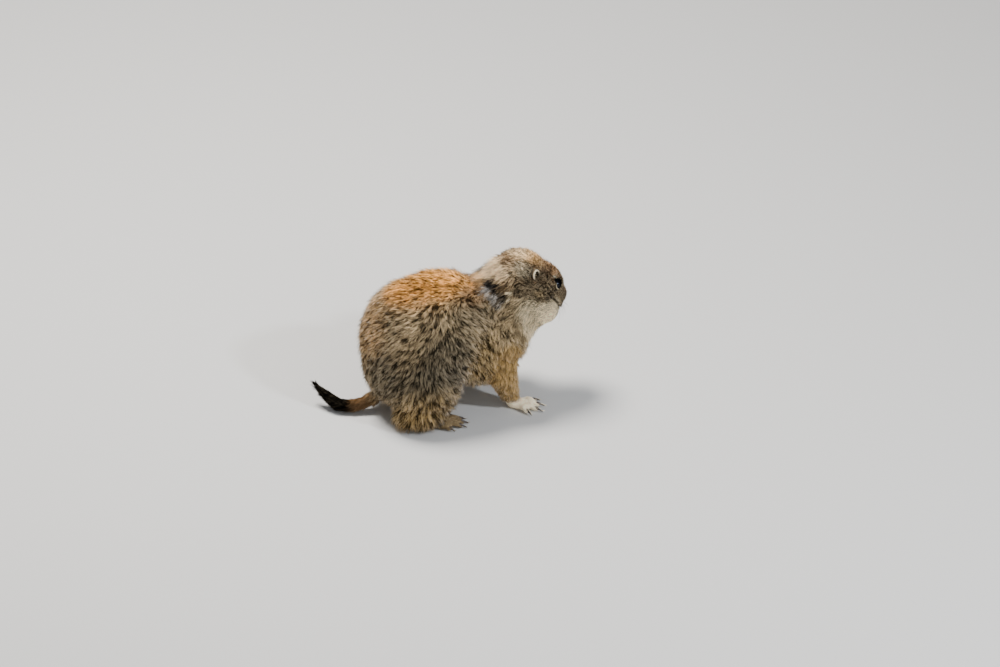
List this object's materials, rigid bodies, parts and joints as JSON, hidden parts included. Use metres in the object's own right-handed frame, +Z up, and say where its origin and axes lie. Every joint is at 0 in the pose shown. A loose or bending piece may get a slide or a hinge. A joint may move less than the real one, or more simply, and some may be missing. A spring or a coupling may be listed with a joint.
{
  "type": "prairie dog model",
  "caption": "Life-size still model of a black-tailed prairie dog crouching on its soles, head turned left and down, tail laid out behind, as a museum shows.",
  "frame": {"origin": "centre of the plan outline, on the floor that the soles stand on", "axes": "+X from tail to head along the body, +Y to the animal's left, +Z up"},
  "size_m": [0.2494, 0.1216, 0.153],
  "materials": {
    "coat": "matte",
    "pale_fur": "matte",
    "ear_skin": "matte",
    "nose_leather": "satin",
    "eye": "gloss",
    "tail_black": "matte"
  },
  "bodies": {
    "root": {"torso": "coat", "neck": "coat", "head": "coat", "foreleg_right": "coat", "foreleg_left": "coat", "hindleg_right": "coat", "hindleg_left": "coat", "tail_base": "coat", "forepaw_right": "pale_fur", "forepaw_left": "pale_fur", "hindfoot_right": "pale_fur", "hindfoot_left": "pale_fur", "ear_right": "ear_skin", "ear_left": "ear_skin", "nose": "nose_leather", "eye_right": "eye", "eye_left": "eye", "tail_tip": "tail_black"}
  },
  "joints": []
}
